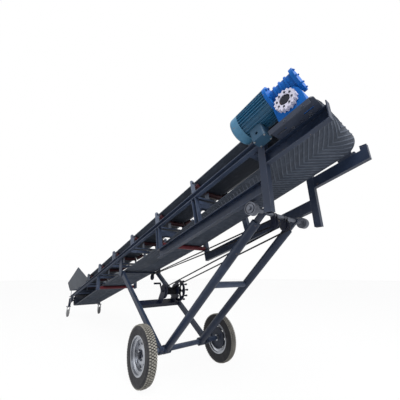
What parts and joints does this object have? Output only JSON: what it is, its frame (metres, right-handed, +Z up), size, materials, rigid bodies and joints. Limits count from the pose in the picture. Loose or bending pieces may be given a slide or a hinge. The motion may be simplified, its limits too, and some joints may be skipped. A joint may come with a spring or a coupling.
{
  "type": "mobile belt conveyor",
  "caption": "Inclined mobile belt conveyor for loading trucks: truss belt frame, ribbed trough belt, head drive, luffing legs with hand winch, road wheels and tail casters.",
  "frame": {"origin": "centre of the bounding box at ground level", "axes": "+X from the tail to the head, +Z up, the drive on the -Y side"},
  "size_m": [7.2414, 1.2, 2.4242],
  "materials": {
    "frame_paint": "satin",
    "bracket_paint": "satin",
    "roller_paint": "satin",
    "belt_rubber": "matte",
    "bare_steel": "satin",
    "bearing_iron": "satin",
    "gear_paint": "gloss",
    "flange_silver": "satin",
    "motor_paint": "satin",
    "cover_paint": "satin",
    "hopper_paint": "satin",
    "winch_paint": "satin",
    "tyre_rubber": "matte",
    "rim_silver": "satin",
    "caster_zinc": "satin",
    "caster_tread": "matte"
  },
  "bodies": {
    "frame": {"top_chords": "frame_paint", "uprights": "frame_paint", "cross_members": "frame_paint", "luff_rails": "frame_paint", "stop_posts": "frame_paint", "drive_channels": "frame_paint", "idler_stands": "frame_paint", "idler_brackets": "bracket_paint", "trough_idlers": "roller_paint", "return_rollers": "roller_paint", "belt": "belt_rubber", "head_drum": "bearing_iron", "tail_drum": "bearing_iron", "head_bearings": "bearing_iron", "tail_bearings": "bearing_iron", "drive_plate": "frame_paint", "gearbox": "gear_paint", "output_flange": "flange_silver", "motor": "motor_paint", "fan_cover": "cover_paint", "terminal_box": "motor_paint", "hopper": "hopper_paint", "pivot_shaft": "frame_paint", "pivot_brackets": "frame_paint", "caster_brackets": "frame_paint"},
    "tail_leg_set": {"tail_legs": "frame_paint", "axle": "frame_paint", "winch_beam": "winch_paint", "winch_frame": "winch_paint", "winch_drum": "winch_paint", "winch_wheel": "winch_paint", "pivot_block": "winch_paint"},
    "head_leg_set": {"head_legs": "frame_paint", "leg_tie": "frame_paint", "roller_bar": "bare_steel", "rope_blocks": "winch_paint"},
    "rail_roller_near": {"rail_roller_near": "bare_steel"},
    "rail_roller_far": {"rail_roller_far": "bare_steel"},
    "road_wheel_near": {"tyre_near": "tyre_rubber", "rim_near": "rim_silver"},
    "road_wheel_far": {"tyre_far": "tyre_rubber", "rim_far": "rim_silver"},
    "caster_near": {"caster_fork_near": "caster_zinc"},
    "caster_far": {"caster_fork_far": "caster_zinc"},
    "caster_wheel_near": {"caster_wheel_near": "caster_tread"},
    "caster_wheel_far": {"caster_wheel_far": "caster_tread"}
  },
  "joints": [
    {"name": "luffing", "type": "hinge", "parent": "frame", "child": "tail_leg_set", "pos_m": [0.16772, 0, 1.09518], "axis": [0, 1, 0], "range_deg": [0, 42]},
    {"name": "leg_fold", "type": "hinge", "parent": "tail_leg_set", "child": "head_leg_set", "pos_m": [1.54591, 0, 0.28], "axis": [0, -1, 0], "range_deg": [0, 60.7]},
    {"name": "road_wheel_near_spin", "type": "hinge", "parent": "tail_leg_set", "child": "road_wheel_near", "pos_m": [1.54591, -0.546, 0.28], "axis": [0, 1, 0], "continuous": true},
    {"name": "road_wheel_far_spin", "type": "hinge", "parent": "tail_leg_set", "child": "road_wheel_far", "pos_m": [1.54591, 0.546, 0.28], "axis": [0, 1, 0], "continuous": true},
    {"name": "rail_roller_near_spin", "type": "hinge", "parent": "head_leg_set", "child": "rail_roller_near", "pos_m": [2.9647, -0.4, 1.53766], "axis": [0, 1, 0], "continuous": true},
    {"name": "rail_roller_far_spin", "type": "hinge", "parent": "head_leg_set", "child": "rail_roller_far", "pos_m": [2.9647, 0.4, 1.53766], "axis": [0, 1, 0], "continuous": true},
    {"name": "caster_near_swivel", "type": "hinge", "parent": "frame", "child": "caster_near", "pos_m": [-3.41409, -0.4, 0.2], "axis": [0, 0, 1], "continuous": true},
    {"name": "caster_far_swivel", "type": "hinge", "parent": "frame", "child": "caster_far", "pos_m": [-3.41409, 0.4, 0.2], "axis": [0, 0, 1], "continuous": true},
    {"name": "caster_wheel_near_spin", "type": "hinge", "parent": "caster_near", "child": "caster_wheel_near", "pos_m": [-3.35908, -0.4, 0.09], "axis": [0, 1, 0], "continuous": true},
    {"name": "caster_wheel_far_spin", "type": "hinge", "parent": "caster_far", "child": "caster_wheel_far", "pos_m": [-3.35908, 0.4, 0.09], "axis": [0, 1, 0], "continuous": true}
  ],
  "couplings": [
    {"joint": "leg_fold", "follows": "luffing", "ratio": 1.4323}
  ]
}
